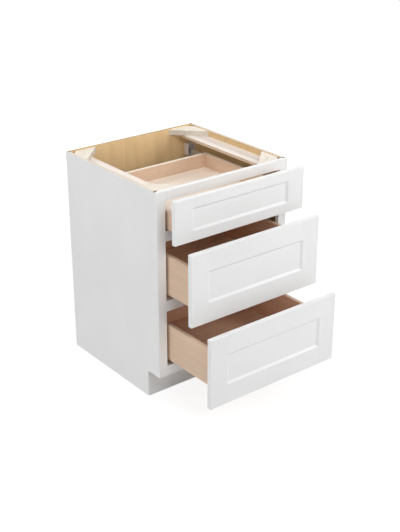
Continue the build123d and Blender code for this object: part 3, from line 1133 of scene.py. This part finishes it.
@dataclass
class TopBraces(SubAssembly):
    """Solid corner blocks and plywood stretchers that square the top, screwed from below.

    Attributes:
        screw_inset: least distance of a screw from the side panel and from the stretcher's end.
        screw_apart: how much further in the screw at the end is.
        screw_row: how much further along the screw at the side is.
    """

    fittings: Fittings
    edge: float = 0.0007
    screw_inset: float = 0.018
    screw_apart: float = 0.030
    screw_row: float = 0.052
    stretcher_log: Log = Log((0.6, 0.3, 0.0), step=(0.4, 0.0, 0.7))
    block_log: Log = Log((0.06, 0.05, 0.0), step=(0.11, 0.0, 0.3), row=(0.0, 0.04, 0.0), tilt=2.5)

    def build(self) -> Iterator[Piece]:
        """Dresses the braces and drives the screws.

        Yields:
            Each brace, then the screws.
        """
        for index, side in enumerate(SIDES):
            name = f"{side}_stretcher"
            board = self.stretcher_log.board(Grain.DEEP, index)
            yield self.dress(name, plywood(name, board, Through.Z, BRACE_FACE, BRACE_EDGE), self.edge)
            for row, end in enumerate(("front", "back")):
                name = f"{side}_{end}_block"
                board = self.block_log.board(Grain.ACROSS, index, row)
                yield self.dress(name, wooden(name, BRACE_BLOCK, board), self.edge)
        yield self.screws()

    def screws(self) -> Piece:
        """Drives two screws up through each end of each stretcher into the blocks.

        Returns:
            The screws.
        """
        places = []
        for side, sign in SIDES.items():
            low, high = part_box(f"{side}_stretcher")
            x_wall = high.x if sign > 0 else low.x
            for y_end, inward in ((low.y, 1.0), (high.y, -1.0)):
                for across, along in ((0.0, self.screw_row), (self.screw_apart, 0.0)):
                    x = x_wall - sign * (self.screw_inset + across)
                    y = y_end + inward * (self.screw_inset + along)
                    places.append(facing(Side.UNDER, (x, y, low.z)))
        return self.fittings.drive(places, "brace_screws", "cabinet")


@dataclass
class Brackets(SubAssembly):
    """Moulded rear brackets of the slides, each with two screws into the back panel.

    Attributes:
        wall: thickness of a bracket's plate.
        foot_rise: height of a bracket's foot above its runner's underside.
        screw_rows: height of each screw above the foot.
    """

    fittings: Fittings
    edge: float = 0.0004
    wall: float = 0.002
    foot_rise: float = 0.0293
    screw_inset: float = 0.0133
    screw_rows: Range = (0.012, 0.038)

    def build(self) -> Iterator[Piece]:
        """Dresses the brackets and drives their screws.

        Yields:
            The brackets, then the screws.
        """
        yield self.dress("rear_brackets", BRACKET_PLASTIC.material("rear_brackets"), self.edge)
        _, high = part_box("rear_brackets")
        x, y = high.x - self.screw_inset, high.y - self.wall
        feet = [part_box(f"{drawer}_runners")[0].z + self.foot_rise for drawer in DRAWERS]
        places = [facing(Side.FRONT, (sign * x, y, foot + row))
                  for sign in SIDES.values() for foot in feet for row in self.screw_rows]
        yield self.fittings.drive(places, "bracket_screws", "cabinet")


@dataclass
class DrawerFront(DrawerPart):
    """Painted frame-and-panel front with soft bumpers behind its corners."""

    edge: float = 0.0004
    bumper_inset: float = 0.012
    log: Log = Log(step=(0.2, 0.3, 0.0), row=(0.5, 0.0, 0.0))

    def build(self) -> Iterator[Piece]:
        """Paints the front and sticks a bumper behind each corner.

        Yields:
            Each piece of the front, then the bumpers.
        """
        grains = {"front_stiles": Grain.UPRIGHT, "front_top_rail": Grain.ACROSS,
                  "front_bottom_rail": Grain.ACROSS, "front_panel": Grain.ACROSS}
        for index, (part, grain) in enumerate(grains.items()):
            name = self.named(part)
            yield self.dress(name, painted(name, self.log.board(grain, index, self.row)), self.edge)
        low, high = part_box(self.named("front_stiles"))
        inset = self.bumper_inset
        places = [facing(Side.REAR, (x, high.y, z))
                  for x in (low.x + inset, high.x - inset)
                  for z in (low.z + inset, high.z - inset)]
        name, body = self.named("front_bumpers"), self.named("drawer")
        yield self.fittings.fit(self.fittings.bumper, places, name, body, "nylon")


@dataclass
class DrawerBox(DrawerPart):
    """Dovetailed wooden box with its ply floor and the screws that hold its front.

    Attributes:
        tall: height of wall above which a box is a deep one.
        screw_apart: from the box's middle to each screw.
        deep_rows: height of each row of screws in a deep box, as a share of the wall.
        low_rows: the same in the shallow box.
    """

    edge: float = 0.0006
    tall: float = 0.12
    screw_apart: float = 0.15
    deep_rows: tuple[float, ...] = (0.30, 0.72)
    low_rows: tuple[float, ...] = (0.6,)
    wall_log: Log = Log((0.05, 0.08, 0.0), step=(0.13, 0.0, 0.4), row=(0.0, 0.17, 0.0))
    floor_log: Log = Log((0.0, 1.1, 0.2), row=(0.4, 0.0, 0.0))

    @property
    def deep(self) -> bool:
        """True for the two deep boxes."""
        low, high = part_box(self.named("box_front"))
        return high.z - low.z > self.tall

    def build(self) -> Iterator[Piece]:
        """Dresses the box and drives the screws through its front wall.

        Yields:
            Each wall, the floor, then the screws.
        """
        walls = {"box_left": (Grain.DEEP, Side.RIGHT), "box_right": (Grain.DEEP, Side.LEFT),
                 "box_front": (Grain.ACROSS, Side.REAR), "box_back": (Grain.ACROSS, Side.FRONT)}
        for index, (part, (grain, inside)) in enumerate(walls.items()):
            name = self.named(part)
            board = self.wall_log.board(grain, index, self.row)
            yield self.dress(name, self.wall(name, board, inside), self.edge)
        name = self.named("box_floor")
        # Painted shade: the deep boxes get the shaded copy of the floor veneer.
        veneer = DEEP_FLOOR_SHADED if self.deep else BIRCH_FLOOR
        yield self.dress(name, wooden(name, veneer, self.floor_log.board(Grain.ACROSS, row=self.row)))
        yield self.screws()

    def wall(self, name: str, board: Board, inside: Side) -> Material:
        """Wood of one wall: painted shade (a redder, darker inside) in a deep box, a painted highlight (a
        paler top edge) in the shallow one.

        Args:
            name: the wall's node.
            board: how its wood lies.
            inside: direction that its inner face looks in.

        Returns:
            The material.
        """
        graph = Graph.of(name)
        layer = BIRCH.layer(graph, board)
        # Painted light: a deep box's inner faces get a shaded copy of the birch, the shallow box's top faces
        # a lit copy.
        side, wood = (inside, BIRCH_SHADED_INSIDE) if self.deep else (Side.TOP, BIRCH_LIT_TOP)
        layer = graph.blend(graph.faces(side), layer, wood.layer(graph, board))
        return graph.shade(layer, specular=WOOD_GLOSS)

    def screws(self) -> Piece:
        """Drives the screws through the box front into the drawer front.

        Returns:
            The screws.
        """
        low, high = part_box(self.named("box_front"))
        rows = self.deep_rows if self.deep else self.low_rows
        places = [facing(Side.REAR, (x, high.y, low.z + (high.z - low.z) * row))
                  for row in rows for x in (-self.screw_apart, self.screw_apart)]
        return self.fittings.drive(places, self.named("front_screws"), self.named("drawer"))


@dataclass
class Slides(DrawerPart):
    """Concealed slides of one drawer, with the screws of their members and clips.

    Attributes:
        clip_inset: from a clip's outer side and front end to its first screw.
        clip_pitch: from there to the second screw.
        sheet: thickness of a runner's steel.
        tab_middle: from a runner's outer side to the middle of its front tab.
        tab_rise: height of the tab's screw above the runner's underside.
    """

    clip_inset: float = 0.010
    clip_pitch: float = 0.020
    sheet: float = 0.0012
    tab_middle: float = 0.0127
    tab_rise: float = 0.036

    def build(self) -> Iterator[Piece]:
        """Dresses the slides and drives their screws.

        Yields:
            Each kind of member, then the screws of the clips and of the runners.
        """
        finishes = {"sliders": STEEL, "telescopes": STEEL, "runners": STEEL,
                    "glides": NYLON, "clips": GREY_PLASTIC}
        for part, finish in finishes.items():
            name = self.named(part)
            yield self.dress(name, finish.material(name))
        low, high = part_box(self.named("clips"))
        x, y = high.x - self.clip_inset, low.y + self.clip_inset
        places = [facing(Side.UNDER, (sign * x, y + along, low.z))
                  for sign in SIDES.values() for along in (0.0, self.clip_pitch)]
        yield self.fittings.drive(places, self.named("clip_screws"), self.named("drawer"))
        low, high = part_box(self.named("runners"))
        x, y, z = high.x - self.tab_middle, low.y + self.sheet, low.z + self.tab_rise
        places = [facing(Side.REAR, (sign * x, y, z)) for sign in SIDES.values()]
        yield self.fittings.drive(places, self.named("runner_screws"), "cabinet")


# ---- studio ----

@dataclass(frozen=True)
class Softbox:
    """Square soft lamp, aimed where the camera looks, with its power in watts."""

    name: str
    at: Point
    size: float
    power: float


SOFTBOXES = (
    Softbox("overhead_softbox", (0.0, -0.3, 3.6), 1.6, 26.5),
    Softbox("high_front_softbox", (-0.6, -4.2, 3.4), 1.8, 58.0),
    Softbox("low_left_softbox", (-2.2, -4.6, 2.0), 2.2, 40.0),
    Softbox("side_softbox", (-4.4, -1.0, 1.0), 1.8, 40.0),
    Softbox("near_left_softbox", (-2.3, -0.3, 2.4), 1.2, 11.5),
    Softbox("near_right_softbox", (1.9, -2.6, 1.3), 1.0, 20.5),
    Softbox("high_right_softbox", (2.3, -1.9, 2.3), 1.2, 20.5),
    Softbox("rear_left_softbox", (-1.5, 2.4, 2.8), 1.8, 44.0),
    Softbox("rear_right_softbox", (2.2, 2.0, 3.0), 1.8, 17.5),
)


@dataclass
class Studio:
    """Pale floor, white surround, soft lamps and the camera.

    Attributes:
        target: where the camera and the lamps point.
        azimuth: the camera's turn round the cabinet in degrees, 0 in front of it.
        sight: how far the camera sees.
        floor_bounce: share of light that the floor gives back to the cabinet.
        floor_glow: the floor's brightness to the camera within glow_near, where 1 is white.
        floor_shadow: how strongly light and shadow show on it.
        glow_far: distance beyond which it is white.
    """

    target: Point = (0.0395, -0.40325, 0.4204)
    azimuth: float = -38.347
    elevation: float = 24.498
    distance: float = 4.2055
    lens: float = 69.79
    sight: float = 100.0
    floor_size: float = 60.0
    floor_bounce: float = 0.7
    floor_glow: float = 0.85
    floor_shadow: float = 0.25
    glow_near: float = 0.9
    glow_far: float = 2.6
    ambient: float = 0.02

    def build(self) -> None:
        """Sets up the studio."""
        self.camera()
        self.floor()
        self.surround()
        for softbox in SOFTBOXES:
            self.hang(softbox)
        bpy.context.scene.view_settings.view_transform = "Standard"

    def camera(self) -> None:
        """Sets up the camera at the photograph's viewing angle."""
        data = bpy.data.cameras.new("camera")
        data.lens = self.lens
        data.clip_end = self.sight
        camera = bpy.data.objects.new("camera", data)
        bpy.context.scene.collection.objects.link(camera)
        turn, rise = radians(self.azimuth), radians(self.elevation)
        back = Vector((sin(turn) * cos(rise), -cos(turn) * cos(rise), sin(rise)))
        camera.location = Vector(self.target) + back * self.distance
        camera.rotation_euler = (-back).to_track_quat("-Z", "Y").to_euler()
        bpy.context.scene.camera = camera

    def hang(self, softbox: Softbox) -> None:
        """Hangs one lamp and aims it.

        Args:
            softbox: the lamp.
        """
        data = bpy.data.lights.new(softbox.name, "AREA")
        data.size = softbox.size
        data.energy = softbox.power
        lamp = bpy.data.objects.new(softbox.name, data)
        bpy.context.scene.collection.objects.link(lamp)
        lamp.location = softbox.at
        aim = Vector(self.target) - Vector(softbox.at)
        lamp.rotation_euler = aim.to_track_quat("-Z", "Y").to_euler()

    def seen_rays(self, graph: Graph) -> Socket:
        """Finds the rays that show the background: from the camera, off gloss and through glass.

        Args:
            graph: tree that gets the nodes.

        Returns:
            1 for these rays, 0 for others.
        """
        rays = graph.node("ShaderNodeLightPath").outputs
        glossy = graph.math("MAXIMUM", rays["Is Camera Ray"], rays["Is Glossy Ray"])
        return graph.math("MAXIMUM", glossy, rays["Is Transmission Ray"])

    def floor(self) -> None:
        """Lays the pale floor, which glows to the camera and keeps a faint shadow."""
        Workshop.clear()
        bpy.ops.mesh.primitive_plane_add(size=self.floor_size)
        floor = bpy.context.object
        floor.name = "studio_floor"
        graph = Graph.of("studio_floor")
        bounce = graph.node("ShaderNodeBsdfDiffuse", {"Color": (self.floor_bounce,) * 3})
        shadow = graph.node("ShaderNodeBsdfDiffuse", {"Color": (self.floor_shadow,) * 3})
        away = graph.vectors("LENGTH", graph.place["Object"])
        rise = graph.span(away, self.glow_near, self.glow_far, self.floor_glow, 1.0)
        glow = graph.node("ShaderNodeEmission", {"Strength": rise})
        seen = graph.node("ShaderNodeAddShader", {0: shadow.outputs[0], 1: glow.outputs[0]})
        inputs = {0: self.seen_rays(graph), 1: bounce.outputs[0], 2: seen.outputs[0]}
        mix = graph.node("ShaderNodeMixShader", inputs)
        graph.node("ShaderNodeOutputMaterial", {"Surface": mix.outputs[0]})
        clothe(floor, graph.owner)

    def surround(self) -> None:
        """Sets up the world, which lights softly and looks white."""
        graph = Graph(bpy.data.worlds.new("surround"))
        inputs = {"Value": self.seen_rays(graph), "To Min": self.ambient}
        strength = graph.node("ShaderNodeMapRange", inputs).outputs[0]
        inputs = {"Color": (1.0, 1.0, 1.0), "Strength": strength}
        background = graph.node("ShaderNodeBackground", inputs)
        graph.node("ShaderNodeOutputWorld", {"Surface": background.outputs[0]})
        bpy.context.scene.world = graph.owner


def main() -> None:
    """Loads the frame, builds each sub-assembly in order and reports its pieces."""
    logging.basicConfig(level=logging.INFO, format="%(message)s")
    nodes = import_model()["nodes"]
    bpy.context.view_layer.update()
    Studio().build()
    fittings = Fittings()
    assemblies = [Carcass(nodes), FaceFrame(nodes), TopBraces(nodes, fittings), Brackets(nodes, fittings)]
    for drawer in DRAWERS:
        assemblies += [part(nodes, fittings, drawer) for part in (DrawerFront, DrawerBox, Slides)]
    for assembly in assemblies:
        for piece in assembly.build():
            LOG.info("%s: %s", type(assembly).__name__, piece.name)
    fittings.put_away()
    Workshop.clear()


if __name__ == "__main__":
    main()
